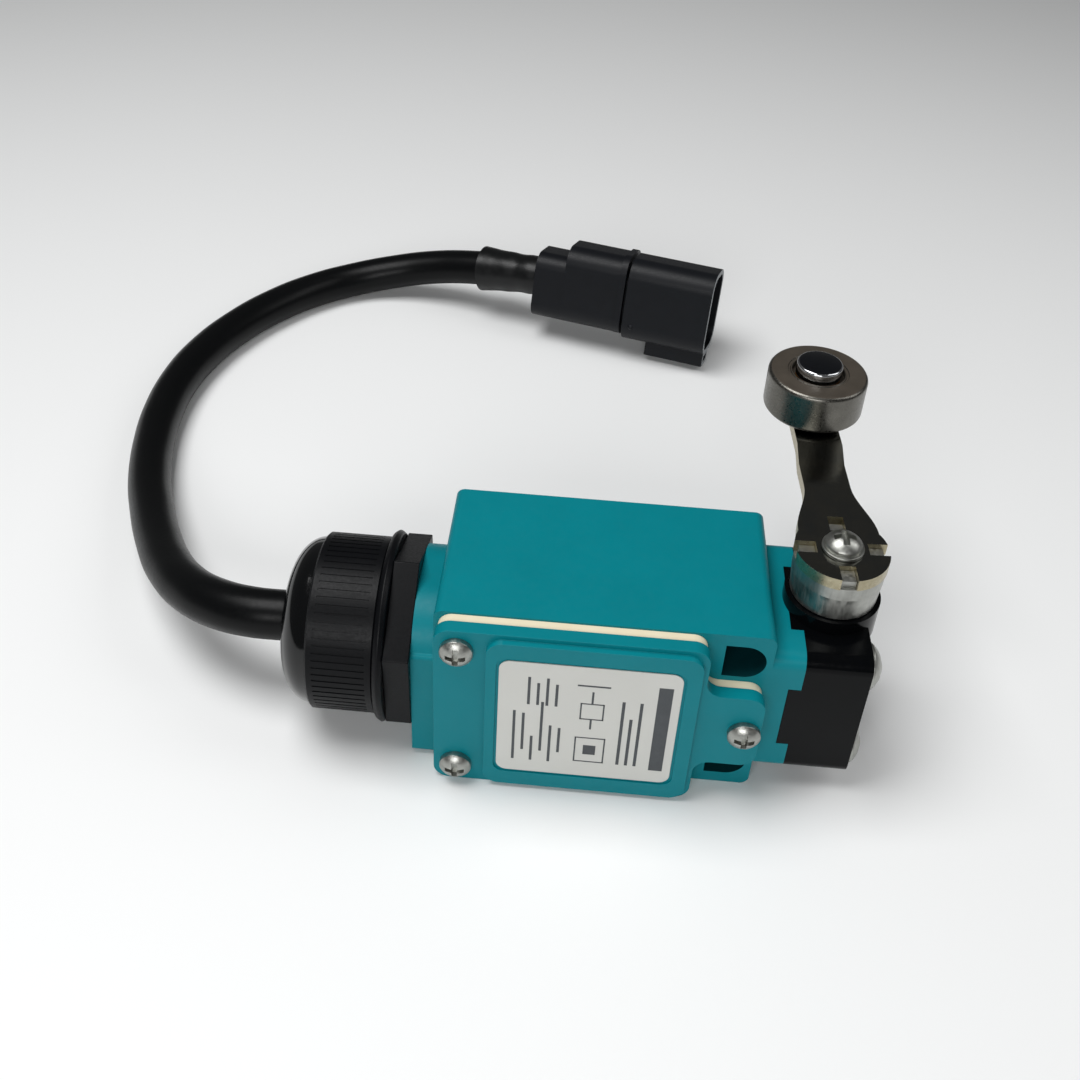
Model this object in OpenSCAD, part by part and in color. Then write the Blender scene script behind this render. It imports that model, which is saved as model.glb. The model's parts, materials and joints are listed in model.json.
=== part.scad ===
// Side-rotary limit switch with a roller lever, lying on its side on a table.
// X runs along the body from the cable gland to the head, Y runs from the front cover to the
// mounting face, Z points up out of the lever side. All sizes are in millimetres.

/* [Housing] */
// Length of the die-cast body between the conduit face and the neck
body_l = 47.5; // [38:0.5:60]
// Width of the body, measured along Z
body_w = 31; // [28:0.5:40]
// Depth of the body from the gasket face to the mounting face
body_d = 26.4; // [24:0.2:34]
// Thickness of the side walls
wall = 2.2; // [1.6:0.1:3]
// Thickness of the back wall
back_t = 2.4; // [1.8:0.1:3.5]
// Corner radius of the body outline
corner_r = 1.4; // [0.6:0.1:2.5]
// Length of the neck that carries the head
neck_l = 4.6; // [3.5:0.1:7]
// Width of the neck and the head
neck_w = 23.4; // [22.4:0.2:27]
// Depth of the neck and the head
neck_d = 24.8; // [22:0.2:26]
// Depth of the four notches that lock the head's turn
notch_l = 1.8; // [1:0.1:2.4]
// Width of the notches on the upper and lower faces
notch_w = 13; // [8:0.5:14]
// Width of the notches on the front and back faces
side_notch_w = 11.6; // [8:0.2:12]
// Length of the conduit boss
boss_l = 3.4; // [2.5:0.1:6]
// Width of the conduit boss
boss_w = 23.2; // [22:0.2:27]
// Depth of the conduit boss
boss_d = 23; // [22.6:0.2:25]
// Distance of the conduit axis behind the gasket face
conduit_y = 11.5; // [11:0.1:13]

/* [Mounting slots] */
// Width of a mounting slot
slot_w = 4.3; // [4:0.1:5]
// End-to-end length of a mounting slot
slot_l = 5.3; // [5:0.1:5.8]
// Distance between the two slots
slot_spacing = 21; // [20:0.1:22]
// Distance from the slots to the neck
slot_from_neck = 3.9; // [3.6:0.1:5]
// Width and height of the recess for the screw head
recess_w = 5.9; // [5.4:0.1:6.4]
// Thickness of the floor under the recess
recess_floor = 4.4; // [3:0.1:6]

/* [Front cover] */
// Length of the cover without its tongue
cover_l = 38; // [34:0.5:39]
// Length of the tongue between the mounting slots
tongue_l = 8.6; // [7.5:0.1:8.8]
// Width of the tongue
tongue_w = 14; // [12:0.2:14.4]
// Thickness of the cover plate
cover_t = 2; // [1.5:0.1:3]
// Height of the raised panel on the cover
panel_t = 0.9; // [0.5:0.1:1.5]
// Corner radius of the cover
cover_r = 2.4; // [1.5:0.1:3]
// Thickness of the gasket
gasket_t = 1.6; // [1:0.1:2.5]
// Width of the sealing land around the opening
seal_land = 2.2; // [1.8:0.1:3]
// Distance of the cover screws from the cover's edge
cover_screw_in = 3.6; // [3.2:0.1:4.2]
// Thread diameter of the cover screws
cover_screw_d = 2.5; // [2:0.5:3]
// Length of the rating label
label_l = 25.4; // [20:0.2:27]
// Width of the rating label
label_w = 23; // [18:0.2:24]

/* [Head] */
// Length of the head from the neck to its end face
head_l = 9.3; // [9.1:0.1:12]
// Wall of the head at its end face
head_end_t = 0.9; // [0.8:0.1:2]
// Distance of the lever shaft from the neck's end
shaft_from_neck = 4.4; // [4.3:0.1:5]
// Diameter of the round boss under the lever hub
shaft_boss_d = 13.8; // [12:0.2:16]
// Height of the round boss
shaft_boss_h = 2.2; // [1.8:0.1:4]
// Thread diameter of the head screws
head_screw_d = 3; // [2.5:0.5:3.5]
// Distance of the head screws from the head's edges
head_screw_in = 3.7; // [3.5:0.1:4.2]

/* [Lever shaft] */
// Diameter of the lever shaft
shaft_d = 5; // [4:0.1:5.4]
// Radius of the cam on the shaft
cam_r = 3.7; // [3.4:0.05:3.8]
// Distance from the shaft axis to the cam's flat
cam_flat = 2.9; // [2.8:0.05:3.3]
// Radial clearance of a turning fit
run_gap = 0.04; // [0.02:0.01:0.08]
// Clearance between pieces that are only placed together
fit_gap = 0.05; // [0.02:0.01:0.1]

/* [Lever] */
// Distance from the shaft axis to the roller axis
lever_r = 31.5; // [26:0.5:45]
// Angle of the lever from straight back, in degrees
lever_rest = 2.6; // [-10:0.1:10]
// Thickness of the lever arm
lever_t = 1.9; // [1.5:0.1:3]
// Diameter of the lever hub
hub_d = 13.4; // [11:0.2:16]
// Height of the lever hub
hub_h = 6; // [4:0.2:9]
// Width of the lever arm beside the roller
arm_w = 7; // [6:0.2:9]
// Height of the bend that lifts the arm's end
joggle = 1.4; // [0:0.1:2.5]
// Width of the four windows around the lever screw
window_w = 2.3; // [1.6:0.1:2.8]

/* [Roller] */
// Diameter of the roller
roller_d = 15.6; // [14:0.2:22]
// Width of the roller
roller_w = 6.7; // [5:0.1:9]
// Diameter of the roller's bore
roller_bore = 7; // [6:0.1:8]
// Diameter of the roller's axle
axle_d = 5; // [4:0.1:5.6]
// Diameter of the axle's domed head
axle_head_d = 7.2; // [6.6:0.1:8]

/* [Contact block] */
// Length of the contact block
block_l = 22; // [20:0.5:24]
// Width of the contact block
block_w = 22; // [20:0.5:24]
// Depth of the contact block
block_d = 19; // [18.4:0.2:19.6]
// Diameter of the plunger between the cam and the contacts
plunger_d = 2.5; // [2:0.1:4.4]
// Travel of the plunger
plunger_travel = 2; // [1:0.1:2.4]

/* [Cable gland] */
// Thread diameter of the gland and its conduit entry
conduit_d = 20; // [16:0.5:21]
// Distance across the flats of the gland's hexagon
gland_af = 25; // [24:0.2:27]
// Length of the hexagon
gland_hex_l = 3.8; // [3:0.1:6]
// Diameter of the ring between the hexagon and the nut
gland_ring_d = 29; // [27:0.2:30]
// Thickness of that ring
gland_ring_t = 1.5; // [1:0.1:2.5]
// Diameter of the gland nut
gland_nut_d = 26.6; // [26:0.2:28]
// Length of the ribbed part of the gland nut
gland_nut_l = 10.1; // [8:0.1:14]
// Length of the nut's domed nose
gland_nose_l = 4.8; // [3.5:0.1:7]

/* [Cable and connector] */
// Diameter of the cable
cable_d = 7.8; // [6:0.1:8.6]
// Length of the heat-shrink sleeve on the cable's end
sleeve_l = 14; // [10:1:18]
// Diameter of the heat-shrink sleeve
sleeve_d = 10; // [9:0.1:11]
// Overall length of the connector
plug_l = 40; // [36:0.5:48]
// Height of the connector's shell
plug_h = 18.4; // [15:0.2:20]
// Width of the connector's shell
plug_w = 12.6; // [11:0.2:14]
// Wall of the connector's shell
plug_wall = 1.1; // [0.9:0.1:1.4]
// Length of the rubber boot on the connector
plug_boot_l = 20.8; // [18:0.2:22]
// Height of the latch rail under the shell
rail_h = 3; // [2:0.1:3.2]

/* [Hidden] */
$fn = 64;
// A little extra so that cuts pass through faces
over = 1;

// Places along the body
mid_z = body_w / 2;
mid_y = neck_d / 2;
neck_x1 = body_l + neck_l;
head_x1 = neck_x1 + head_l;
shaft_x = neck_x1 + shaft_from_neck;
neck_z0 = mid_z - neck_w / 2;
neck_z1 = mid_z + neck_w / 2;
neck_r = 2.2;
boss_r = 8.6;
boss_foot_d = 13;
boss_foot_z = [0.6, mid_z + 6.2];

// Front cover, gasket and the opening behind them
cover_x0 = 0.4;
cover_x1 = cover_x0 + cover_l;
tongue_x1 = cover_x1 + tongue_l;
plate_y = -gasket_t - cover_t;
panel_y = plate_y - panel_t;
panel_x0 = cover_x0 + 7.4;
label_recess = 0.3;
label_t = 0.2;
label_x0 = panel_x0 + 1.9;
label_r = 1.6;
cavity_x0 = wall + 0.2;
cavity_x1 = cover_x1 - seal_land;
cavity_y1 = body_d - back_t;
throat_w = 10;
throat_x1 = cavity_x1 + 4;
post_r = 2.5;
cover_screw_x = [cover_x0 + cover_screw_in - 0.3, tongue_x1 - 2.4];
cover_screw_z = [cover_screw_in, body_w - cover_screw_in];
screw_head_d = 1.88 * cover_screw_d;
screw_head_h = 0.78 * cover_screw_d;
screw_bite = 5.5;

// Mounting slots
slot_x = body_l - slot_from_neck;
slot_z = [mid_z - slot_spacing / 2, mid_z + slot_spacing / 2];
recess_y1 = body_d - recess_floor;

// Head and its screws
head_screw_y = [head_screw_in, neck_d - head_screw_in];
head_screw_z = [neck_z0 + head_screw_in, neck_z1 - head_screw_in];
head_screw_bite = 4;
head_head_d = 2.2 * head_screw_d;
head_head_h = 0.66 * head_screw_d;
tongue_deep = 2.2;
hollow_w = 14.2;
hollow_x1 = head_x1 - head_end_t;
hollow_z0 = neck_z0 + 4.2;
hollow_z1 = neck_z1 - 3.4;
boss_z1 = neck_z1 + shaft_boss_h;

// Lever shaft, bush and seal
shaft_r = shaft_d / 2;
shaft_z0 = neck_z0 + 1.4;
bush_od = shaft_d + 3;
bush_z1 = boss_z1 - 0.9;
clip_t = 0.7;
clip_z = hollow_z1 - clip_t - 0.2;
cam_z0 = mid_z - 3.6;
cam_z1 = mid_z + 3.6;
hub_z0 = boss_z1 + 0.2;
hub_z1 = hub_z0 + hub_h;
arm_z1 = hub_z1 + lever_t;
window_r0 = 3.7;
lug_h = 1.1;
lever_screw_d = 3;
lever_head_d = 5.2;
lever_head_h = 1.9;
lever_washer_t = 0.5;

// Lever arm outline: the hub's disc narrows to the arm along a smooth curve
arm_neck_y = [3.5, 13.5];
joggle_y = [lever_r - 12.6, lever_r - 9.4];
function ease(t) = t * t * (3 - 2 * t);
function arm_half(y) = let (t = (y - arm_neck_y[0]) / (arm_neck_y[1] - arm_neck_y[0]))
    hub_d / 2 - 0.9 - (hub_d / 2 - 0.9 - arm_w / 2) * ease(min(1, max(0, t)));
arm_steps = 10;
arm_side = [for (i = [0:arm_steps])
    let (y = arm_neck_y[0] + i * (arm_neck_y[1] - arm_neck_y[0]) / arm_steps) [arm_half(y), y]];

// Roller and its axle
end_z1 = arm_z1 + joggle;
axle_washer_t = 0.5;
side_gap = 0.15;
roller_z0 = end_z1 + axle_washer_t + side_gap;
roller_z1 = roller_z0 + roller_w;
axle_head_z0 = roller_z1 - 0.6;
axle_head_h = 2.6;
axle_tail_h = 1.1;
counterbore_d = axle_head_d + 1;
counterbore_h = 0.9;

// Cable gland
hex_x0 = -boss_l - gland_hex_l;
ring_x0 = hex_x0 - gland_ring_t;
nut_x0 = ring_x0 - gland_nut_l;
nose_x0 = nut_x0 - gland_nose_l;
spigot_x1 = 5;
hex_turn = 5;
gland_sleeve_d = conduit_d + 0.6;
gland_sleeve_t = 2;
claw_od = gland_sleeve_d - 2 * gland_sleeve_t - 2 * fit_gap;
claw_id = cable_d + 4;
seal_x = [nut_x0 + 0.6, ring_x0 + 1];
tail_x1 = spigot_x1 + 1;
mouth_gap = 0.2;

// Contact block in the housing
block_x0 = 13;
block_x1 = block_x0 + block_l;
block_y1 = cavity_y1 - fit_gap;
block_y0 = block_y1 - block_d;
block_split_y = mid_y;
block_z0 = mid_z - block_w / 2;
chamber_w = 11;
chamber_x0 = block_x0 + 2;
chamber_x1 = block_x1 - 2;
carrier_d = 5;
carrier_gap = 0.6;
chamber_y0 = mid_y - carrier_d / 2 - carrier_gap;
chamber_y1 = mid_y + carrier_d / 2 + carrier_gap;
carrier_w = 8;
carrier_x0 = chamber_x0 + plunger_travel + carrier_gap;
carrier_x1 = chamber_x1 - 0.4;
stem_x1 = block_x1 + plunger_travel + 1.2;
bridge_x = [block_x0 + 0.3 * block_l, block_x0 + 0.7 * block_l];
bridge_l = chamber_w - 2.6;
bridge_w = 3;
contact_t = 0.8;
contact_w = 3.2;
contact_y1 = chamber_y0 + 4.7;
terminal_z = [block_z0 + 3.4, block_z0 + block_w - 3.4];
terminal_w = 4.4;
clamp_w = 4.2;
terminal_screw_d = 2.5;
block_screw_x = block_x0 + block_l / 2;
block_screw_z = [block_z0 + 2.6, block_z0 + block_w - 2.6];
block_screw_d = 2.5;

// Plunger between the cam and the contacts
plunger_r = plunger_d / 2;
plunger_x1 = shaft_x - cam_r - 0.3;
plunger_x0 = stem_x1 + 0.2;
throat_r = plunger_r + 2.2;
guide_x = [cavity_x1 + 5.2, cavity_x1 + 7.6];
collar_x = [plunger_x1 - 2.6, plunger_x1 - 1.4];
collar_r = throat_r - 0.5;
spring_wire = 0.6;

// Earth screw on the back wall
earth_x = cavity_x0 + 6;

// Cable: hand-placed points from the gland's mouth to the connector, heights above the table
cable_points = [
    [-24, 11.5, 15.5], [-30, 11.9, 15.2], [-36, 14, 14.2], [-42, 18.4, 12.4], [-47.5, 25, 10.2],
    [-52.5, 33.5, 8], [-57, 43, 6.2], [-61, 53, 4.9], [-64, 64, 4.1], [-65.6, 75, 4],
    [-65.6, 86, 4], [-63.6, 97, 4], [-59.6, 107.5, 4], [-53.6, 117.5, 4], [-46, 126, 4],
    [-37.5, 131.6, 4.4], [-28, 133.9, 6], [-18.5, 133.5, 8.2], [-9, 130.9, 10.4], [0, 127.6, 12],
    [7, 125.1, 12.8]];
cable_sides = 10;
cable_rings = 22;
plug_pos = [7, 125.1, 12.8];
plug_turn = -15;
plug_roll = -14;
sleeve_pos = [-6.6, 130, 10.9];

// Connector, along its own axis from the boot's rear face
boot_rear_l = 7;
boot_rear_h = plug_h - 3.6;
boot_rear_w = plug_w - 1;
boot_wall = 1;
boot_base = plug_h / 2 - 0.9;
boot_r = 4;
ridge_l = 1.4;
shell_x0 = plug_boot_l + 0.5;
insert_x0 = 7.5;
insert_h = 2 * (boot_rear_h - boot_base - boot_wall - fit_gap);
insert_w = boot_rear_w - 2 * boot_wall - 2 * fit_gap;
socket_x0 = shell_x0 + 2.2;
shell_r = 4.2;
pin_z = [-3.6, 3.6];
pin_d = 1.6;
pin_x1 = plug_l - 8.6;
rail_x = [plug_l - 13.4, plug_l - 0.2];
rail_w = 5.4;

// The frame's origin: under the middle of the switch, on the table
x_low = nose_x0;
x_high = max(head_x1 + head_head_h, shaft_x + max(shaft_boss_d, hub_d) / 2);
y_low = min(panel_y, plate_y - screw_head_h);
y_high = mid_y + lever_r * cos(lever_rest) + roller_d / 2;
x_mid = (x_low + x_high) / 2;
y_mid = (y_low + y_high) / 2;

// ---- shared shapes ----

module in_frame() {
    translate([-x_mid, -y_mid, 0]) children();
}

// A block whose four vertical edges are rounded
module slab(l, w, h, r) {
    translate([r, 0, 0]) cube([l - 2 * r, w, h]);
    translate([0, r, 0]) cube([l, w - 2 * r, h]);
    for (x = [r, l - r], y = [r, w - r]) translate([x, y, 0]) cylinder(r = r, h = h);
}

// The same block lying against an X-Z plane: its thickness t runs along Y
module face_slab(x, z, l, w, y, t, r) {
    translate([x, y + t, z]) rotate([90, 0, 0]) slab(l, w, t, r);
}

// The same block across the X axis: its thickness t runs along X
module end_slab(y, z, w, h, x, t, r) {
    translate([x, y, z]) rotate([90, 0, 90]) slab(w, h, t, r);
}

module rod_x(x0, x1, y, z, r) {
    translate([x0, y, z]) rotate([0, 90, 0]) cylinder(r = r, h = x1 - x0);
}

module rod_y(x, y0, y1, z, r) {
    translate([x, y0, z]) rotate([-90, 0, 0]) cylinder(r = r, h = y1 - y0);
}

module ring(od, id, h) {
    difference() {
        cylinder(d = od, h = h);
        translate([0, 0, -over]) cylinder(d = id, h = h + 2 * over);
    }
}

// A pan-head screw, its seat at the origin and its shank pointing down
module pan_screw(d, head_d, head_h, shank) {
    dome = (pow(head_d / 2, 2) + pow(head_h, 2)) / (2 * head_h) + 0.6;
    slot = head_d * 0.17;
    difference() {
        intersection() {
            cylinder(d = head_d, h = head_h);
            translate([0, 0, head_h - dome]) sphere(r = dome);
        }
        for (a = [0, 90]) rotate([0, 0, a])
            translate([-head_d * 0.3, -slot / 2, head_h * 0.4]) cube([head_d * 0.6, slot, head_h]);
    }
    translate([0, 0, -shank]) cylinder(d = d, h = shank);
}

// ---- tubes along a path ----

function unit(v) = v / norm(v);
function spline(p, i, t) = let (
        n = len(p) - 1,
        a = p[max(0, i - 1)], b = p[i], c = p[i + 1], d = p[min(n, i + 2)])
    0.5 * (2 * b + (c - a) * t + (2 * a - 5 * b + 4 * c - d) * t * t + (3 * b - a - 3 * c + d) * t * t * t);
function along(p, u) = let (i = min(len(p) - 2, floor(u))) spline(p, i, u - i);
function heading(path, i) = unit(path[min(len(path) - 1, i + 1)] - path[max(0, i - 1)]);
function tube_ring(path, i, r, sides, up) = let (
        t = heading(path, i),
        s = unit(cross(t, up)),
        v = cross(s, t))
    [for (k = [0:sides - 1]) path[i] + r * (cos(360 * k / sides) * s + sin(360 * k / sides) * v)];

module tube(path, r, sides, up = [0, 0, 1]) {
    n = len(path);
    points = [for (i = [0:n - 1]) each tube_ring(path, i, r, sides, up)];
    walls = [for (i = [0:n - 2], k = [0:sides - 1]) let (m = (k + 1) % sides)
        each [[i * sides + k, i * sides + m, (i + 1) * sides + m],
              [i * sides + k, (i + 1) * sides + m, (i + 1) * sides + k]]];
    first = [for (k = [1:sides - 2]) [0, k + 1, k]];
    last = [for (k = [1:sides - 2]) (n - 1) * sides * [1, 1, 1] + [0, k, k + 1]];
    polyhedron(points, concat(walls, first, last));
}

// Points of a coil around Z
function coil_points(r, pitch, turns, steps) =
    [for (i = [0:turns * steps]) [r * cos(360 * i / steps), r * sin(360 * i / steps), pitch * i / steps]];

// ---- housing, cover and gasket ----

// The opening behind the cover, from y0 to y1
module opening(y0, y1) {
    translate([cavity_x0, y0, wall]) cube([cavity_x1 - cavity_x0, y1 - y0, body_w - 2 * wall]);
    translate([cavity_x1 - over, y0, mid_z - throat_w / 2])
        cube([throat_x1 - cavity_x1 + over, y1 - y0, throat_w]);
}

module screw_posts() {
    for (z = cover_screw_z) rod_y(cover_screw_x[0], 0, cavity_y1, z, post_r);
}

module mounting_holes() {
    for (z = slot_z) {
        rod_y(slot_x, -over, recess_y1, z, recess_w / 2);
        translate([slot_x - recess_w / 2, -over, z - recess_w / 2])
            cube([recess_w / 2, recess_y1 + over, recess_w]);
        for (dz = [-1, 1] * (slot_l - slot_w) / 2) rod_y(slot_x, 0, body_d + over, z + dz, slot_w / 2);
        translate([slot_x - slot_w / 2, 0, z - (slot_l - slot_w) / 2])
            cube([slot_w, body_d + over, slot_l - slot_w]);
    }
}

module notches(gap) {
    x = neck_x1 - notch_l;
    for (z = [neck_z0 - over, neck_z1 - tongue_deep]) translate([x, mid_y - notch_w / 2 + gap, z])
        cube([notch_l + over, notch_w - 2 * gap, tongue_deep + over]);
    for (y = [-over, neck_d - tongue_deep]) translate([x, y, mid_z - side_notch_w / 2 + gap])
        cube([notch_l + over, tongue_deep + over, side_notch_w - 2 * gap]);
}

module housing() in_frame() color("#138a92") difference() {
    union() {
        difference() {
            union() {
                face_slab(0, 0, body_l, body_w, 0, body_d, corner_r);
                end_slab(0, neck_z0, neck_d, neck_w, body_l - corner_r, neck_l + corner_r, neck_r);
                end_slab(0, mid_z - boss_w / 2, boss_d, boss_w, -boss_l, boss_l + corner_r, boss_r);
                end_slab(0, boss_foot_z[0], boss_foot_d, boss_foot_z[1] - boss_foot_z[0], -boss_l,
                    boss_l + corner_r, 1);
            }
            opening(-over, cavity_y1);
            notches(0);
        }
        intersection() {
            screw_posts();
            cube([body_l, body_d, body_w]);
        }
    }
    mounting_holes();
    rod_x(-boss_l - over, spigot_x1 + 0.4, conduit_y, mid_z, conduit_d / 2 + fit_gap);
    rod_x(throat_x1 - over, guide_x[0] + fit_gap, mid_y, mid_z, plunger_r + run_gap + 0.2);
    rod_x(guide_x[0], guide_x[1], mid_y, mid_z, plunger_r + run_gap);
    rod_x(guide_x[1], neck_x1 + over, mid_y, mid_z, throat_r);
    rod_x(neck_x1 - 0.7, neck_x1 + over, mid_y, mid_z, throat_r + 1.6);
    for (z = cover_screw_z)
        rod_y(cover_screw_x[0], -over, screw_bite + 0.4, z, cover_screw_d / 2 + fit_gap);
    rod_y(cover_screw_x[1], -over, screw_bite + 0.4, mid_z, cover_screw_d / 2 + fit_gap);
    for (y = head_screw_y, z = head_screw_z)
        rod_x(neck_x1 - head_screw_bite - 0.4, neck_x1 + over, y, z, head_screw_d / 2 + fit_gap);
    for (z = block_screw_z)
        rod_y(block_screw_x, cavity_y1 - over, cavity_y1 + 1.6, z, block_screw_d / 2 + fit_gap);
    rod_y(earth_x, cavity_y1 - over, cavity_y1 + 1.6, mid_z, cover_screw_d / 2 + fit_gap);
}

// The cover's outline with its tongue, as a plate from y to y + t
module cover_outline(y, t, inset) {
    r = cover_r - inset;
    face_slab(cover_x0 + inset, inset, cover_l - 2 * inset, body_w - 2 * inset, y, t, r);
    face_slab(cover_x1 - cover_r - over, mid_z - tongue_w / 2 + inset, tongue_l + cover_r + over - inset,
        tongue_w - 2 * inset, y, t, r);
    // Fillets where the tongue leaves the plate
    for (side = [-1, 1]) difference() {
        translate([cover_x1 - inset - over, y,
            mid_z + side * (tongue_w / 2 - inset + cover_r / 2) - cover_r / 2])
            cube([cover_r + over, t, cover_r]);
        rod_y(cover_x1 - inset + cover_r, y - over, y + t + over,
            mid_z + side * (tongue_w / 2 - inset + cover_r), cover_r);
    }
}

module cover_screw_holes(d) {
    for (z = cover_screw_z) rod_y(cover_screw_x[0], panel_y - over, over, z, d / 2);
    rod_y(cover_screw_x[1], panel_y - over, over, mid_z, d / 2);
}

module cover_gasket() in_frame() color("#efe6cf") difference() {
    cover_outline(-gasket_t, gasket_t, 0.3);
    difference() {
        opening(-gasket_t - over, over);
        for (z = cover_screw_z) rod_y(cover_screw_x[0], -gasket_t, 0, z, post_r + 0.4);
    }
    cover_screw_holes(cover_screw_d + 2 * fit_gap);
}

module front_cover() in_frame() color("#169099") difference() {
    union() {
        cover_outline(plate_y, cover_t, 0);
        face_slab(panel_x0, 0.8, cover_x1 - panel_x0 - 0.8, body_w - 1.6, panel_y, panel_t + over / 2,
            cover_r);
    }
    face_slab(label_x0 - 0.4, mid_z - label_w / 2 - 0.4, label_l + 0.8, label_w + 0.8, panel_y - over,
        over + label_recess, label_r);
    cover_screw_holes(cover_screw_d + 0.4);
}

module rating_label() in_frame() color("#dcdcd6")
    face_slab(label_x0, mid_z - label_w / 2, label_l, label_w, panel_y + label_recess - label_t, label_t,
        label_r);

module cover_screws() in_frame() color("#c9cccb") {
    for (z = cover_screw_z) translate([cover_screw_x[0], plate_y, z]) rotate([90, 0, 0])
        pan_screw(cover_screw_d, screw_head_d, screw_head_h, screw_bite - plate_y);
    translate([cover_screw_x[1], plate_y, mid_z]) rotate([90, 0, 0])
        pan_screw(cover_screw_d, screw_head_d, screw_head_h, screw_bite - plate_y);
}

// ---- head ----

module head_housing() in_frame() color("#15171a") difference() {
    union() {
        end_slab(0, neck_z0, neck_d, neck_w, neck_x1, head_l, neck_r);
        intersection() {
            translate([fit_gap, 0, 0]) notches(fit_gap);
            end_slab(0, neck_z0, neck_d, neck_w, neck_x1 - notch_l, notch_l + over, neck_r);
        }
        translate([shaft_x, mid_y, neck_z1 + fit_gap])
            cylinder(d = shaft_boss_d, h = shaft_boss_h - fit_gap);
        intersection() {
            translate([shaft_x, mid_y, neck_z1 - 3]) cylinder(d = shaft_boss_d, h = 3 + fit_gap);
            translate([shaft_x, 0, neck_z1 - 3]) cube([shaft_boss_d, neck_d, 3 + over]);
        }
    }
    translate([neck_x1 - over, mid_y - hollow_w / 2, hollow_z0])
        cube([hollow_x1 - neck_x1 + over, hollow_w, hollow_z1 - hollow_z0]);
    translate([shaft_x, mid_y, shaft_z0 - 0.2]) cylinder(r = shaft_r + run_gap, h = hollow_z0);
    translate([shaft_x, mid_y, hollow_z1 - over]) cylinder(d = bush_od + 2 * fit_gap, h = boss_z1);
    for (y = head_screw_y, z = head_screw_z)
        rod_x(neck_x1 - over, head_x1 + over, y, z, head_screw_d / 2 + fit_gap);
}

module head_seal() in_frame() color("#26282b") translate([neck_x1 - 0.6, mid_y, mid_z]) rotate([0, 90, 0])
    ring(2 * throat_r + 3, 2 * throat_r + 0.6, 0.6);

module head_screws() in_frame() color("#c9cccb")
    for (y = head_screw_y, z = head_screw_z) translate([head_x1, y, z]) rotate([0, 90, 0])
        pan_screw(head_screw_d, head_head_d, head_head_h, head_l + head_screw_bite);

module shaft_bush() in_frame() color("#b5894a") translate([shaft_x, mid_y, hollow_z1])
    ring(bush_od, shaft_d + 2 * run_gap, bush_z1 - hollow_z1);

module shaft_seal() in_frame() color("#202225") translate([shaft_x, mid_y, bush_z1 + fit_gap])
    ring(bush_od, shaft_d + 2 * run_gap, boss_z1 - bush_z1 - 2 * fit_gap);

module operating_shaft() in_frame() color("#b9bdc0") translate([shaft_x, mid_y, 0]) difference() {
    translate([0, 0, shaft_z0]) cylinder(r = shaft_r, h = hub_z1 - 0.6 - shaft_z0);
    translate([0, 0, clip_z - fit_gap]) ring(shaft_d + over, shaft_d - 0.7, clip_t + 2 * fit_gap);
    translate([0, 0, hub_z0 - 1]) cylinder(r = lever_screw_d / 2 + fit_gap, h = hub_h + over);
}

module shaft_clip() in_frame() color("#8f9396") translate([shaft_x, mid_y, clip_z])
    ring(shaft_d + 2, shaft_d - 0.6, clip_t);

module cam() in_frame() color("#a9adb0") translate([shaft_x, mid_y, cam_z0]) difference() {
    cylinder(r = cam_r, h = cam_z1 - cam_z0);
    translate([-cam_r - cam_flat, -cam_r, -over]) cube([cam_r, 2 * cam_r, cam_z1 - cam_z0 + 2 * over]);
    translate([0, 0, -over]) cylinder(r = shaft_r + fit_gap, h = cam_z1 - cam_z0 + 2 * over);
}

// Torsion spring that brings the lever back
module return_spring() in_frame() color("#9a9ea1")
    translate([shaft_x, mid_y, hollow_z0 + spring_wire / 2 + 0.1])
        tube(coil_points(shaft_r + 0.7, 0.9, 3, 12), spring_wire / 2, 6);

module head_plunger() in_frame() color("#d9d4c6") {
    rod_x(plunger_x0, plunger_x1, mid_y, mid_z, plunger_r);
    rod_x(collar_x[0], collar_x[1], mid_y, mid_z, collar_r);
}

module plunger_spring() in_frame() color("#9a9ea1") {
    free = collar_x[0] - guide_x[1] - spring_wire - 0.2;
    turns = 4;
    translate([guide_x[1] + spring_wire / 2 + 0.1, mid_y, mid_z]) rotate([0, 90, 0])
        tube(coil_points(plunger_r + 0.7, free / turns, turns, 12), spring_wire / 2, 6);
}

// ---- contact block ----

// Heights of a fixed contact's leg and pad, for the lower (-1) or the upper (1) side
function leg_z(side) = mid_z + side * (chamber_w / 2 - contact_t / 2 - fit_gap);
function pad_z(side) = side < 0 ? terminal_z[0] : terminal_z[1];

// Room inside the block for the carrier and its contacts
module chamber() {
    translate([chamber_x0, chamber_y0, mid_z - chamber_w / 2])
        cube([chamber_x1 - chamber_x0, chamber_y1 - chamber_y0, chamber_w]);
    rod_x(chamber_x1 - over, block_x1 + over, mid_y, mid_z, plunger_r + 0.2);
}

module block_holes() {
    for (z = block_screw_z)
        rod_y(block_screw_x, block_y0 - over, block_y1 + over, z, block_screw_d / 2 + fit_gap);
}

module block_part(y0, y1) {
    difference() {
        translate([block_x0, y0, block_z0]) cube([block_l, y1 - y0, block_w]);
        chamber();
        block_holes();
        children();
    }
}

module block_base() in_frame() color("#2e3a44") block_part(block_split_y, block_y1);

module block_cover() in_frame() color("#c8442e") block_part(block_y0, block_split_y) {
    for (x = bridge_x, side = [-1, 1]) {
        translate([x - contact_w / 2 - fit_gap, block_y0 - over, leg_z(side) - contact_t / 2 - fit_gap])
            cube([contact_w + 2 * fit_gap, block_d, contact_t + 2 * fit_gap]);
        rod_y(x, block_y0 - over, block_y0 + 3, pad_z(side), terminal_screw_d / 2 + fit_gap);
    }
}

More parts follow.
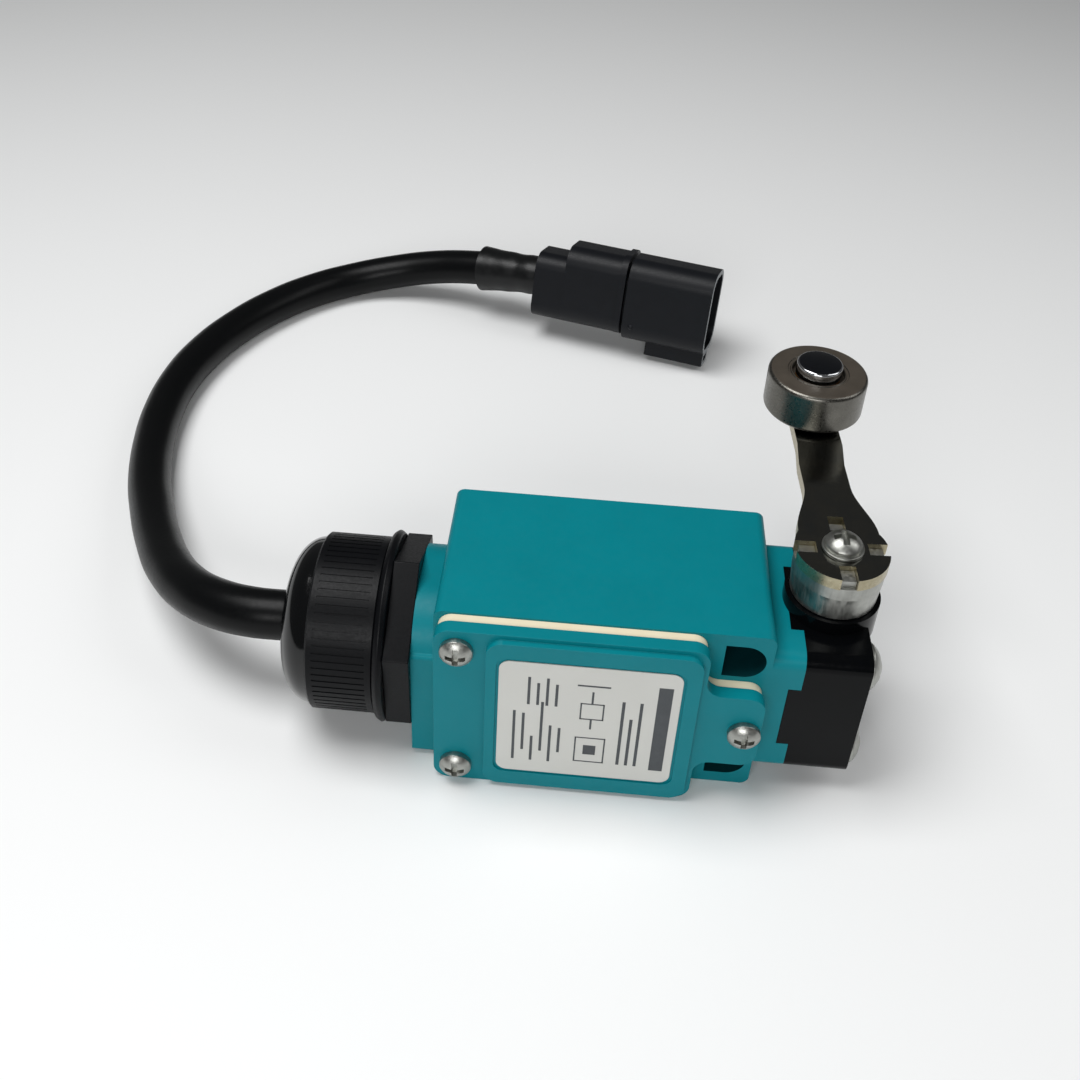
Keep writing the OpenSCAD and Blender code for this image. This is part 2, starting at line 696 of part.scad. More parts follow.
module contact_carrier() in_frame() color("#e8e4da") {
    difference() {
        translate([carrier_x0, mid_y - carrier_d / 2, mid_z - carrier_w / 2])
            cube([carrier_x1 - carrier_x0 - plunger_travel, carrier_d, carrier_w]);
        for (x = bridge_x)
            translate([x - bridge_w / 2 - fit_gap, mid_y - contact_t / 2 - fit_gap, mid_z - carrier_w])
                cube([bridge_w + 2 * fit_gap, contact_t + 2 * fit_gap, 2 * carrier_w]);
    }
    rod_x(carrier_x1 - plunger_travel - 0.1, stem_x1, mid_y, mid_z, plunger_r);
}

module contact_bridges() in_frame() color("#c79a4b")
    for (x = bridge_x) translate([x - bridge_w / 2, mid_y - contact_t / 2, mid_z - bridge_l / 2])
        cube([bridge_w, contact_t, bridge_l]);

// Four bent strips: a pad on the front of the block and a leg into the chamber
module fixed_contacts() in_frame() color("#c79a4b") for (x = bridge_x, side = [-1, 1]) {
    z0 = min(leg_z(side) - contact_t / 2, pad_z(side) - terminal_w / 2);
    z1 = max(leg_z(side) + contact_t / 2, pad_z(side) + terminal_w / 2);
    difference() {
        translate([x - terminal_w / 2, block_y0 - contact_t, z0]) cube([terminal_w, contact_t, z1 - z0]);
        rod_y(x, block_y0 - 2 * contact_t, block_y0 + over, pad_z(side), terminal_screw_d / 2 + fit_gap);
    }
    translate([x - contact_w / 2, block_y0 - contact_t, leg_z(side) - contact_t / 2])
        cube([contact_w, contact_y1 - block_y0 + contact_t, contact_t]);
}

module terminal_clamps() in_frame() color("#c9cccb") for (x = bridge_x, z = terminal_z) difference() {
    translate([x - clamp_w / 2, block_y0 - 2 * contact_t, z - clamp_w / 2])
        cube([clamp_w, contact_t, clamp_w]);
    rod_y(x, block_y0 - 3 * contact_t, block_y0, z, terminal_screw_d / 2 + fit_gap);
}

module terminal_screws() in_frame() color("#d4b25e") for (x = bridge_x, z = terminal_z)
    translate([x, block_y0 - 2 * contact_t, z]) rotate([90, 0, 0])
        pan_screw(terminal_screw_d, 4, 1.6, 2 * contact_t + 2.6);

module block_screws() in_frame() color("#c9cccb") for (z = block_screw_z)
    translate([block_screw_x, block_y0, z]) rotate([90, 0, 0])
        pan_screw(block_screw_d, 3.8, 1.5, block_d + fit_gap + 1.3);

module earth_washer() in_frame() color("#b9bdc0") translate([earth_x, cavity_y1, mid_z]) rotate([90, 0, 0])
    ring(7, cover_screw_d + 2 * fit_gap, 0.8);

module earth_screw() in_frame() color("#3f8f4a") translate([earth_x, cavity_y1 - 0.8, mid_z])
    rotate([90, 0, 0]) pan_screw(cover_screw_d, 5.6, 2, 0.8 + 1.4);

// ---- lever and roller ----

module at_shaft() {
    translate([shaft_x, mid_y, 0]) rotate([0, 0, lever_rest]) children();
}

module lever_hub() in_frame() color("#b4b7b6") at_shaft() difference() {
    union() {
        translate([0, 0, hub_z0]) cylinder(d1 = hub_d - 1, d2 = hub_d - 0.4, h = hub_h - 2);
        translate([0, 0, hub_z1 - 2 - over / 10]) cylinder(d = hub_d - 0.4, h = 2 + over / 10);
        for (a = [0:90:270]) rotate([0, 0, a])
            translate([-window_w / 2 + fit_gap, window_r0 + fit_gap, hub_z1 - over])
            cube([window_w - 2 * fit_gap, hub_d / 2 - 0.8 - window_r0, lug_h + over]);
    }
    translate([0, 0, hub_z0 - over]) cylinder(r = shaft_r + fit_gap, h = hub_h - 0.6 + over);
    cylinder(r = lever_screw_d / 2 + fit_gap, h = arm_z1);
}

// The arm's plan outline, tall enough to cut from
module arm_outline() {
    h = arm_z1 + joggle;
    cylinder(d = hub_d, h = h);
    linear_extrude(h) polygon(concat(arm_side, [[arm_w / 2, lever_r], [-arm_w / 2, lever_r]],
        [for (i = [arm_steps:-1:0]) [-arm_side[i][0], arm_side[i][1]]]));
    translate([0, lever_r, 0]) cylinder(d = arm_w, h = h);
}

// The arm's side profile, with the bend that lifts its end
module arm_profile() {
    translate([hub_d, 0, 0]) rotate([90, 0, -90]) linear_extrude(2 * hub_d) polygon([
        [hub_d, hub_z1], [-joggle_y[0], hub_z1], [-joggle_y[1], hub_z1 + joggle],
        [-2 * lever_r, hub_z1 + joggle], [-2 * lever_r, arm_z1 + joggle],
        [-joggle_y[1], arm_z1 + joggle], [-joggle_y[0], arm_z1], [hub_d, arm_z1]]);
}

module lever_arm() in_frame() color("#8d9296") at_shaft() difference() {
    intersection() {
        arm_outline();
        arm_profile();
    }
    for (a = [90:90:270]) rotate([0, 0, a])
        translate([-window_w / 2, window_r0, hub_z1 - over]) cube([window_w, hub_d, lever_t + 2 * over]);
    translate([-window_w / 2, window_r0, hub_z1 - over])
        cube([window_w, hub_d / 2 - window_r0, lever_t + 2 * over]);
    translate([0, 0, hub_z1 - over]) cylinder(d = lever_screw_d + 0.4, h = lever_t + 2 * over);
    translate([0, lever_r, hub_z1]) cylinder(r = axle_d / 2 + fit_gap, h = lever_t + joggle + over);
}

module lever_washer() in_frame() color("#b9bdc0") at_shaft() translate([0, 0, arm_z1])
    ring(lever_head_d + 0.8, lever_screw_d + 2 * fit_gap, lever_washer_t);

module lever_screw() in_frame() color("#c9cccb") at_shaft() translate([0, 0, arm_z1 + lever_washer_t])
    pan_screw(lever_screw_d, lever_head_d, lever_head_h, lever_t + lever_washer_t + hub_h - 0.4);

module at_roller() {
    at_shaft() translate([0, lever_r, 0]) children();
}

module roller() in_frame() color("#8f8f8c") at_roller() difference() {
    edge = 0.7;
    rotate_extrude() polygon([[0, roller_z0], [roller_d / 2 - edge, roller_z0],
        [roller_d / 2, roller_z0 + edge], [roller_d / 2, roller_z1 - edge],
        [roller_d / 2 - edge, roller_z1], [0, roller_z1]]);
    cylinder(d = roller_bore + 2 * fit_gap, h = roller_z1 + over);
    translate([0, 0, roller_z1 - counterbore_h]) cylinder(d = counterbore_d, h = roller_w);
}

module roller_bush() in_frame() color("#9b8a63") at_roller() translate([0, 0, roller_z0])
    ring(roller_bore, axle_d + 2 * run_gap, roller_w - counterbore_h);

module axle_washer() in_frame() color("#b9bdc0") at_roller() translate([0, 0, end_z1])
    ring(arm_w + 0.6, axle_d + 2 * fit_gap, axle_washer_t);

module roller_axle() in_frame() color("#55585b") at_roller() {
    dome_r = (pow(axle_head_d / 2, 2) + 1) / 2;
    translate([0, 0, end_z1 - lever_t]) cylinder(d = axle_d, h = axle_head_z0 + 0.1 - end_z1 + lever_t);
    translate([0, 0, end_z1 - lever_t - axle_tail_h]) cylinder(d = axle_d + 1.4, h = axle_tail_h);
    intersection() {
        translate([0, 0, axle_head_z0]) cylinder(d = axle_head_d, h = axle_head_h);
        translate([0, 0, axle_head_z0 + axle_head_h - 2 * dome_r]) sphere(r = 2 * dome_r);
    }
}

// ---- cable gland ----

module gland_body() in_frame() color("#17191b") difference() {
    union() {
        translate([hex_x0, conduit_y, mid_z]) rotate([0, 90, 0]) rotate([0, 0, hex_turn])
            cylinder(d = gland_af / cos(30), h = gland_hex_l, $fn = 6);
        rod_x(-boss_l - over / 2, spigot_x1, conduit_y, mid_z, conduit_d / 2);
        rod_x(nut_x0 + 3, hex_x0 + over / 2, conduit_y, mid_z, gland_sleeve_d / 2);
    }
    rod_x(nut_x0, spigot_x1 + over, conduit_y, mid_z, cable_d / 2 + 0.5);
    rod_x(nut_x0, hex_x0 + 1.5, conduit_y, mid_z, gland_sleeve_d / 2 - gland_sleeve_t);
    translate([-boss_l - 0.8, conduit_y, mid_z]) rotate([0, 90, 0]) ring(conduit_d + 2.4, conduit_d, over);
}

module gland_face_seal() in_frame() color("#2b2d30") translate([-boss_l - 0.8 + fit_gap, conduit_y, mid_z])
    rotate([0, 90, 0]) ring(conduit_d + 2.2, conduit_d + 0.2, 0.8 - 2 * fit_gap);

module gland_claw() in_frame() color("#2b2e31") translate([seal_x[0], conduit_y, mid_z]) rotate([0, 90, 0])
    difference() {
        ring(claw_od, claw_id + 2 * fit_gap, seal_x[1] - seal_x[0]);
        for (a = [0:45:315]) rotate([0, 0, a]) translate([claw_id / 2 - over, -0.3, -over])
            cube([claw_od, 0.6, 7]);
    }

module gland_seal() in_frame() color("#3a3c3e") translate([seal_x[0], conduit_y, mid_z]) rotate([0, 90, 0])
    ring(claw_id, cable_d + 2 * fit_gap, seal_x[1] - seal_x[0]);

module gland_ring() in_frame() color("#101214") translate([ring_x0, conduit_y, mid_z]) rotate([0, 90, 0])
    difference() {
        rotate_extrude() polygon([[0, 0], [gland_ring_d / 2 - 0.5, 0], [gland_ring_d / 2, gland_ring_t / 2],
            [gland_ring_d / 2 - 0.5, gland_ring_t], [0, gland_ring_t]]);
        translate([0, 0, -over]) cylinder(d = gland_sleeve_d + 2 * fit_gap, h = gland_ring_t + 2 * over);
    }

module gland_nut() in_frame() color("#141618") translate([nut_x0, conduit_y, mid_z])
    rotate([0, 90, 0]) difference() {
    ribs = 48;
    nose_r = cable_d / 2 + 1.6;
    union() {
        difference() {
            cylinder(d = gland_nut_d, h = gland_nut_l);
            for (i = [0:ribs - 1]) rotate([0, 0, i * 360 / ribs]) translate([gland_nut_d / 2, 0, 1.4])
                cylinder(d = 0.7, h = gland_nut_l - 2.8, $fn = 6);
        }
        intersection() {
            translate([0, 0, -gland_nose_l]) cylinder(d = gland_nut_d, h = gland_nose_l + over / 2);
            rotate_extrude() polygon(concat([[0, over / 2], [0, -gland_nose_l]], [for (a = [0:9:90])
                [nose_r + (gland_nut_d / 2 - nose_r) * sin(a), -gland_nose_l * cos(a)]],
                [[gland_nut_d / 2, over / 2]]));
        }
    }
    translate([0, 0, -gland_nose_l - over])
        cylinder(d = cable_d + 2 * mouth_gap, h = gland_nut_l + gland_nose_l + 2 * over);
    translate([0, 0, 0.4]) cylinder(d = gland_sleeve_d + 2 * fit_gap, h = gland_nut_l);
}

module cable_tail() in_frame() color("#1c1d1f") rod_x(nose_x0, tail_x1, conduit_y, mid_z, cable_d / 2);

// A core from the cable's end to a terminal
module core(side, x_end) {
    z = side < 0 ? terminal_z[0] : terminal_z[1];
    y = block_y0 - 2 * contact_t - 0.9;
    points = [[tail_x1 - 0.4, conduit_y, mid_z + 1.6 * side], [tail_x1 + 2, conduit_y, mid_z + 1.8 * side],
        [block_x0 - 2, y + 1.4, z - 1.6 * side], [block_x0 + 0.6, y, z - 0.2 * side], [x_end - 2.8, y, z]];
    tube([for (i = [0:12]) along(points, i * (len(points) - 1) / 12)], 0.7, 8);
}

module brown_core() in_frame() color("#6b4327") core(-1, bridge_x[0]);
module blue_core() in_frame() color("#2b5fa8") core(1, bridge_x[0]);

// ---- cable, sleeve and connector ----

module cable() in_frame() color("#1c1d1f")
    tube([for (i = [0:cable_rings]) let (p = along(cable_points, i * (len(cable_points) - 1) / cable_rings))
        i == 0 ? [nose_x0, conduit_y, mid_z] : p], cable_d / 2, cable_sides);

module at_plug() {
    translate(plug_pos) rotate([0, 0, plug_turn]) rotate([plug_roll, 0, 0]) children();
}

module heat_shrink_sleeve() in_frame() color("#1a1b1d") {
    a = plug_pos - sleeve_pos;
    path = [sleeve_pos, sleeve_pos + 0.5 * a + [0, 0.4, 0.2], plug_pos];
    tube([for (i = [0:6]) along(path, i * 2 / 6)], sleeve_d / 2, 16);
}

module connector_boot() in_frame() color("#17181a") at_plug() difference() {
    union() {
        end_slab(-boot_rear_w / 2, -boot_base, boot_rear_w, boot_rear_h, 0, boot_rear_l + over,
            boot_r - 0.6);
        end_slab(-plug_w / 2, -boot_base, plug_w, boot_base + plug_h / 2, boot_rear_l,
            plug_boot_l - boot_rear_l, boot_r);
        end_slab(-plug_w / 2 - 0.3, -boot_base, plug_w + 0.6, boot_base + plug_h / 2 + 0.4,
            plug_boot_l - ridge_l, ridge_l, boot_r);
    }
    end_slab(-insert_w / 2 - fit_gap, -insert_h / 2 - fit_gap, insert_w + 2 * fit_gap,
        insert_h + 2 * fit_gap, insert_x0 - 3, plug_boot_l, 2);
}

module connector_shell() in_frame() color("#1b1c1f") at_plug() difference() {
    union() {
        end_slab(-plug_w / 2, -plug_h / 2, plug_w, plug_h, shell_x0, plug_l - shell_x0, shell_r);
        end_slab(-insert_w / 2, -insert_h / 2, insert_w, insert_h, insert_x0,
            shell_x0 - insert_x0 + over, 2);
        translate([rail_x[0], -rail_w / 2, -plug_h / 2 - rail_h])
            cube([rail_x[1] - rail_x[0], rail_w, rail_h + over]);
    }
    end_slab(-plug_w / 2 + plug_wall, -plug_h / 2 + plug_wall, plug_w - 2 * plug_wall,
        plug_h - 2 * plug_wall, socket_x0, plug_l, shell_r - plug_wall);
    for (z = pin_z) rod_x(insert_x0 - over, socket_x0 + over, 0, z, pin_d / 2 + fit_gap);
    translate([rail_x[1] - 5, -rail_w / 2 + 0.9, -plug_h / 2 - rail_h + 0.8])
        cube([6, rail_w - 1.8, rail_h - 1.6]);
}

module wire_seal() in_frame() color("#c96a2c") at_plug() difference() {
    end_slab(-insert_w / 2, -insert_h / 2, insert_w, insert_h, insert_x0 - 2.9, 2.8, 2);
    for (z = pin_z) rod_x(insert_x0 - 4, insert_x0 + over, 0, z, pin_d / 2 + fit_gap);
}

module wedge_lock() in_frame() color("#d98a2b") at_plug() difference() {
    end_slab(-plug_w / 2 + plug_wall + 1.4, -plug_h / 2 + plug_wall + 1.2, plug_w - 2 * plug_wall - 2.8,
        plug_h - 2 * plug_wall - 2.4, socket_x0, 3.4, 1);
    for (z = pin_z) rod_x(socket_x0 - over, socket_x0 + 4 + over, 0, z, pin_d / 2 + fit_gap);
}

module contact_pins() in_frame() color("#c9ccd0") at_plug() for (z = pin_z) {
    rod_x(insert_x0 - 2.9, pin_x1, 0, z, pin_d / 2);
    translate([pin_x1, 0, z]) sphere(d = pin_d);
}

housing();
cover_gasket();
front_cover();
rating_label();
cover_screws();
head_housing();
head_seal();
head_screws();
shaft_bush();
shaft_seal();
operating_shaft();
shaft_clip();
cam();
return_spring();
head_plunger();
plunger_spring();
block_base();
block_cover();
contact_carrier();
contact_bridges();
fixed_contacts();
terminal_screws();
terminal_clamps();
block_screws();
earth_screw();
earth_washer();
lever_hub();
lever_arm();
lever_washer();
lever_screw();
roller();
roller_bush();
roller_axle();
axle_washer();
gland_body();
gland_face_seal();
gland_claw();
gland_seal();
gland_ring();
gland_nut();
cable_tail();
brown_core();
blue_core();
cable();
heat_shrink_sleeve();
connector_boot();
connector_shell();
wire_seal();
wedge_lock();
contact_pins();
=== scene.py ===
import json
import math

import bpy
from mathutils import Matrix, Vector


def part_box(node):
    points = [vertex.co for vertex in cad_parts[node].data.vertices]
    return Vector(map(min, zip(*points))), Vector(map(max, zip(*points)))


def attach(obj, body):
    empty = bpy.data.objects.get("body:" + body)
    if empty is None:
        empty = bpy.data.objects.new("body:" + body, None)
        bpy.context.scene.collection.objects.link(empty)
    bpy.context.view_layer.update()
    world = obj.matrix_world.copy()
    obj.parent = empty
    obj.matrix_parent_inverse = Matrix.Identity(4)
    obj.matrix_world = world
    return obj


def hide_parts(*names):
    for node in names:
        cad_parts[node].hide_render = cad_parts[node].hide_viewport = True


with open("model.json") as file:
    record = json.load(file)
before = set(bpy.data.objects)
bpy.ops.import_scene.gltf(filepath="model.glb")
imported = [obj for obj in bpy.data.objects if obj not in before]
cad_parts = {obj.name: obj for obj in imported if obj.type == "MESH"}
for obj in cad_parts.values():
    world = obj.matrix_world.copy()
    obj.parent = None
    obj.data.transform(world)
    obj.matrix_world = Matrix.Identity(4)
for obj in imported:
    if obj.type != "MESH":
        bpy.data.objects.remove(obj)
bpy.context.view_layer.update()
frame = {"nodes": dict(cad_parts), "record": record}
mm = 0.001
print("frame loaded:", len(frame["nodes"]), "nodes")

# Unless a comment says otherwise, measures are in millimetres and places are from the body's
# corner: X along the body, Y to the back, Z up. The conduit boss stands out on the low X side.
bossLength = 3.4
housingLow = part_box("housing")[0]
bodyCorner = Vector((housingLow.x + bossLength * mm, housingLow.y, housingLow.z))


def place(x, y, z):
    return bodyCorner + Vector((x, y, z)) * mm


# The view, the table and the lights
camera = {
    "position": (18.09, -121.81, 155.65),
    "turn": (54.4, -2.13, 4.586),  # degrees
    "lens": 41.6,
    "shift": (0.0123, -0.1329),
    "nearClip": 0.01,  # metres
}


def makeCamera():
    bpy.ops.object.camera_add(location=place(*camera["position"]),
                              rotation=[math.radians(a) for a in camera["turn"]])
    eye = bpy.context.object
    eye.data.lens = camera["lens"]
    eye.data.shift_x, eye.data.shift_y = camera["shift"]
    eye.data.clip_start = camera["nearClip"]
    bpy.context.scene.camera = eye


def linear(hexColour):
    parts = [int(hexColour[i:i + 2], 16) / 255 for i in (1, 3, 5)]
    return [c / 12.92 if c <= 0.04045 else ((c + 0.055) / 1.055) ** 2.4 for c in parts] + [1]


def addNode(tree, kind, settings=None, values=None, links=None):
    node = tree.nodes.new("ShaderNode" + kind)
    for name, value in (settings or {}).items():
        setattr(node, name, value)
    for name, value in (values or {}).items():
        node.inputs[name].default_value = value
    for name, source in (links or {}).items():
        tree.links.new(source, node.inputs[name])
    return node


def newMaterial(name):
    material = bpy.data.materials.new(name)
    material.use_nodes = True
    material.node_tree.nodes.clear()
    return material, material.node_tree


studio = {
    "floor": "#f4f5f5",
    "floorSize": 4,  # metres
    "floorRoughness": 0.55,
    "world": "#ffffff",
    "worldStrength": 0.1,
    # place in mm, size in metres and watts of each soft light
    "lights": [((-150, 10, 500), (0.3, 0.3), 2.0), ((330, 60, 330), (0.16, 0.3), 0.35),
               ((-40, -420, 260), (0.3, 0.16), 1.0)],
    "aim": (20, 40, 10),
}


def makeStudio():
    bpy.ops.mesh.primitive_plane_add(size=studio["floorSize"], location=(0, 0, 0))
    floor = bpy.context.object
    floor.name = "floor"
    material, tree = newMaterial("matt painted table")  # even and pale, with a soft broad sheen
    shader = addNode(tree, "BsdfPrincipled", values={"Base Color": linear(studio["floor"]),
                                                     "Roughness": studio["floorRoughness"]})
    addNode(tree, "OutputMaterial", links={"Surface": shader.outputs[0]})
    floor.data.materials.append(material)
    world = bpy.data.worlds.new("studio")
    world.use_nodes = True
    background = world.node_tree.nodes["Background"]
    background.inputs["Color"].default_value = linear(studio["world"])
    background.inputs["Strength"].default_value = studio["worldStrength"]
    bpy.context.scene.world = world
    for spot, size, watts in studio["lights"]:
        bpy.ops.object.light_add(type="AREA", location=place(*spot))
        lamp = bpy.context.object
        lamp.data.shape = "RECTANGLE"
        lamp.data.size, lamp.data.size_y = size
        lamp.data.energy = watts
        sight = place(*studio["aim"]) - lamp.location
        lamp.rotation_euler = sight.to_track_quat("-Z", "Y").to_euler()
    bpy.context.scene.view_settings.view_transform = "Standard"


makeCamera()
makeStudio()
print("camera, floor and lights are set")

noiseRange = (0.3, 0.7)  # nearly all of a noise's values lie between these


# One finish: two colours in cloudy patches, and a fine grain that drives both gloss and relief.
# Mottle and grain are the two patterns' sizes and height is the relief's, all in mm.
def makeFinish(name, colour, second, mottle, rough, grain, height, stretch=(1, 1, 1),
               metallic=0.0, ior=1.5, specular=0.5):
    material, tree = newMaterial(name)
    spot = addNode(tree, "TexCoord").outputs["Object"]
    cloud = addNode(tree, "TexNoise", values={"Scale": 1 / (mottle * mm), "Detail": 3},
                    links={"Vector": spot})
    tint = addNode(tree, "Mix", {"data_type": "RGBA"}, links={"Factor": cloud.outputs[0]})
    for socket, shade in ((6, colour), (7, second)):  # the node's colour inputs, A and B
        tint.inputs[socket].default_value = linear(shade)
    drawn = addNode(tree, "Mapping", values={"Scale": stretch}, links={"Vector": spot})
    grit = addNode(tree, "TexNoise", values={"Scale": 1 / (grain * mm), "Detail": 2},
                   links={"Vector": drawn.outputs[0]})
    gloss = addNode(tree, "MapRange",
                    values={"From Min": noiseRange[0], "From Max": noiseRange[1],
                            "To Min": rough[0], "To Max": rough[1]},
                    links={"Value": grit.outputs[0]})
    relief = addNode(tree, "Bump", values={"Distance": height * mm},
                     links={"Height": grit.outputs[0]})
    shader = addNode(tree, "BsdfPrincipled",
                     values={"Metallic": metallic, "Specular IOR Level": specular},
                     links={"Base Color": tint.outputs[2], "Roughness": gloss.outputs[0],
                            "Normal": relief.outputs[0]})
    if not metallic:
        shader.inputs["IOR"].default_value = ior
    addNode(tree, "OutputMaterial", links={"Surface": shader.outputs[0]})
    return material


# The finishes, one for each kind of surface
finishes = {
    # Stoved enamel on a zinc casting: a satin film with slight orange peel, a little paler where
    # it is thin
    "teal_enamel": makeFinish("stoved teal enamel", "#00757f", "#007e89", mottle=9,
                              rough=(0.36, 0.46), grain=0.9, height=0.006, specular=0.16),
    # Dark teal inside the mounting recesses: painted shade
    "teal_painted_shade": makeFinish("teal enamel with painted shade", "#022e33", "#043a40", mottle=3,
                              rough=(0.5, 0.6), grain=0.9, height=0.006, specular=0.1),
    # Gloss enamel on the head's casting: near black, with tight highlights
    "black_enamel": makeFinish("gloss black enamel", "#040506", "#07080a", mottle=5,
                               rough=(0.12, 0.2), grain=0.8, height=0.006, specular=0.1),
    # Moulded rubber: cream, fully matt, with a fine mould texture
    "cream_rubber": makeFinish("moulded cream rubber", "#e9dfc4", "#dfd2b2", mottle=4,
                               rough=(0.6, 0.8), grain=0.2, height=0.01, ior=1.45),
    "black_rubber": makeFinish("moulded black rubber", "#1c1d1f", "#242628", mottle=4,
                               rough=(0.6, 0.8), grain=0.2, height=0.01, ior=1.45),
    # Printed polyester film: pale grey with a soft even sheen
    "label_film": makeFinish("printed polyester film", "#cfcfca", "#c8c8c3", mottle=8,
                             rough=(0.3, 0.4), grain=0.25, height=0.001),
    "label_ink": makeFinish("screen-printed ink", "#33373b", "#43474b", mottle=1.5,
                            rough=(0.4, 0.55), grain=0.2, height=0.001),
    # Bright zinc plate on pressed steel: pale metal, cloudy in the recesses
    "zinc_plate": makeFinish("bright zinc plate", "#b5b6b1", "#8f908b", mottle=1.2,
                             rough=(0.28, 0.46), grain=0.35, height=0.006, metallic=1.0),
    # Tumbled zinc casting: matt silver, with fine upright marks from the tumbler
    "cast_zinc": makeFinish("tumbled zinc casting", "#b9bab5", "#8f908c", mottle=1.2,
                            rough=(0.3, 0.5), grain=0.35, height=0.02, stretch=(1, 1, 0.12),
                            metallic=1.0),
    # Zinc-plated pressed steel with a dark clear passivate: a deep mirror with faint colour
    "plated_arm": makeFinish("dark passivated zinc plate", "#5e6264", "#777469", mottle=3,
                             rough=(0.1, 0.2), grain=0.6, height=0.002, metallic=1.0),
    # Pale steel on the arm's sheared sides: a painted highlight
    "arm_edge_highlight": makeFinish("sheared steel edge with painted highlight", "#b9b29a", "#958b70", mottle=0.8,
                              rough=(0.25, 0.4), grain=0.3, height=0.006, metallic=1.0),
    # The roller and its axle: ground steel on the rim, painted shade on its upward faces, a
    # polished rivet
    "roller_steel": makeFinish("ground roller steel", "#77756f", "#5b5954", mottle=2.5,
                               rough=(0.24, 0.4), grain=0.3, height=0.004, metallic=1.0),
    # Darker, duller steel on the roller's upward faces: painted shade
    "roller_top_painted_shade": makeFinish("steel face with painted shade", "#655d53", "#4d473f", mottle=2.5,
                              rough=(0.36, 0.5), grain=0.3, height=0.004, metallic=0.55),
    "axle_chrome": makeFinish("polished rivet steel", "#d5d6d8", "#b4b6b9", mottle=2,
                              rough=(0.08, 0.16), grain=0.5, height=0.001, metallic=1.0),
    # The rivet head's top, near black: a painted dark reflection
    "axle_top_painted_reflection": makeFinish("rivet head with painted dark reflection", "#101216", "#181a1f", mottle=2,
                               rough=(0.16, 0.26), grain=0.5, height=0.002, metallic=0.5),
    # Metal parts inside, seen where the shell or a gap is open
    "turned_steel": makeFinish("turned steel", "#a8aaab", "#8f9192", mottle=1.5, rough=(0.2, 0.35),
                               grain=0.2, height=0.003, stretch=(1, 1, 8), metallic=1.0),
    "spring_steel": makeFinish("drawn spring wire", "#8a8c8e", "#6f7173", mottle=1,
                               rough=(0.22, 0.35), grain=0.15, height=0.002, metallic=1.0),
    "bronze": makeFinish("sintered bronze", "#a9793f", "#8c6434", mottle=0.6, rough=(0.35, 0.55),
                         grain=0.15, height=0.006, metallic=1.0),
    "contact_brass": makeFinish("pressed brass", "#d1ab5c", "#b9924a", mottle=1.5,
                                rough=(0.2, 0.35), grain=0.3, height=0.002, metallic=1.0),
    "pin_nickel": makeFinish("nickel plate", "#c3beb2", "#aba698", mottle=1, rough=(0.12, 0.25),
                             grain=0.3, height=0.002, metallic=1.0),
    "earth_green": makeFinish("green passivated steel", "#3f7f45", "#2f6a38", mottle=1,
                              rough=(0.25, 0.4), grain=0.3, height=0.003, metallic=0.6),
    # Glass-filled nylon mouldings of the gland: satin black, with the mould's spark texture
    "gland_nylon": makeFinish("moulded black nylon", "#07080a", "#0b0c0f", mottle=3,
                              rough=(0.34, 0.46), grain=0.35, height=0.008, specular=0.13),
    "nose_nylon": makeFinish("polished black nylon", "#040506", "#060708", mottle=4,
                             rough=(0.07, 0.11), grain=0.9, height=0.004, specular=0.45),
    # Extruded cable jacket: satin black
    "cable_pvc": makeFinish("extruded black jacket", "#060708", "#090a0b", mottle=5,
                            rough=(0.3, 0.38), grain=0.5, height=0.006, specular=0.14),
    # Shrunk polyolefin: satin black, slightly wavy over what it grips
    "shrink_sleeve": makeFinish("shrunk polyolefin", "#090a0b", "#0d0e0f", mottle=3,
                                rough=(0.3, 0.4), grain=1.6, height=0.05, specular=0.3),
    # Moulded thermoplastic of the connector: dark grey-black, satin, with a pale painted highlight
    # at its mouth
    "plug_thermoplastic": makeFinish("moulded black thermoplastic", "#0b0d11", "#101217", mottle=3,
                                     rough=(0.38, 0.5), grain=0.3, height=0.008, specular=0.22),
    # Pale grey, a painted highlight on the connector's mouth rim and latch rail end
    "mouth_rim_highlight": makeFinish("thermoplastic rim with painted highlight", "#6d7175", "#8d9194", mottle=0.7,
                              rough=(0.4, 0.55), grain=0.3, height=0.01),
    # Seals, mouldings and cores inside the connector, the switch and the cable
    "orange_silicone": makeFinish("moulded orange silicone", "#b4562a", "#a44b22", mottle=2,
                                  rough=(0.4, 0.55), grain=0.3, height=0.006, ior=1.41),
    "orange_lock": makeFinish("moulded amber plastic", "#c77a25", "#bb6f1e", mottle=3,
                              rough=(0.3, 0.4), grain=0.3, height=0.004),
    "natural_nylon": makeFinish("natural nylon", "#d8d3c4", "#cfc9b8", mottle=3, rough=(0.35, 0.5),
                                grain=0.3, height=0.005, ior=1.53),
    "dark_thermoset": makeFinish("dark moulded thermoset", "#2e3a44", "#27323b", mottle=2,
                                 rough=(0.3, 0.45), grain=0.25, height=0.006),
    "red_thermoset": makeFinish("red moulded thermoset", "#b23a28", "#a33322", mottle=2,
                                rough=(0.3, 0.45), grain=0.25, height=0.006),
    "brown_core": makeFinish("brown core insulation", "#6b4327", "#613b21", mottle=2,
                             rough=(0.3, 0.4), grain=0.4, height=0.004),
    "blue_core": makeFinish("blue core insulation", "#2b5fa8", "#255698", mottle=2,
                            rough=(0.3, 0.4), grain=0.4, height=0.004),
}
nodeSlots = {p["node"]: p["material_slot"] for p in frame["record"]["subparts"]}
for node, item in frame["nodes"].items():
    item.data.materials.clear()
    item.data.materials.append(finishes[nodeSlots[node]])
print("materials made:", len(finishes))

# Modelling steps shared by the pieces. Gaps are in metres and angles in degrees.
turnedWeld = 1e-7
softening = {"weld": 1e-6, "flatAngle": 0.5, "sharpAngle": 35}


def deselectAll():
    bpy.ops.object.select_all(action="DESELECT")


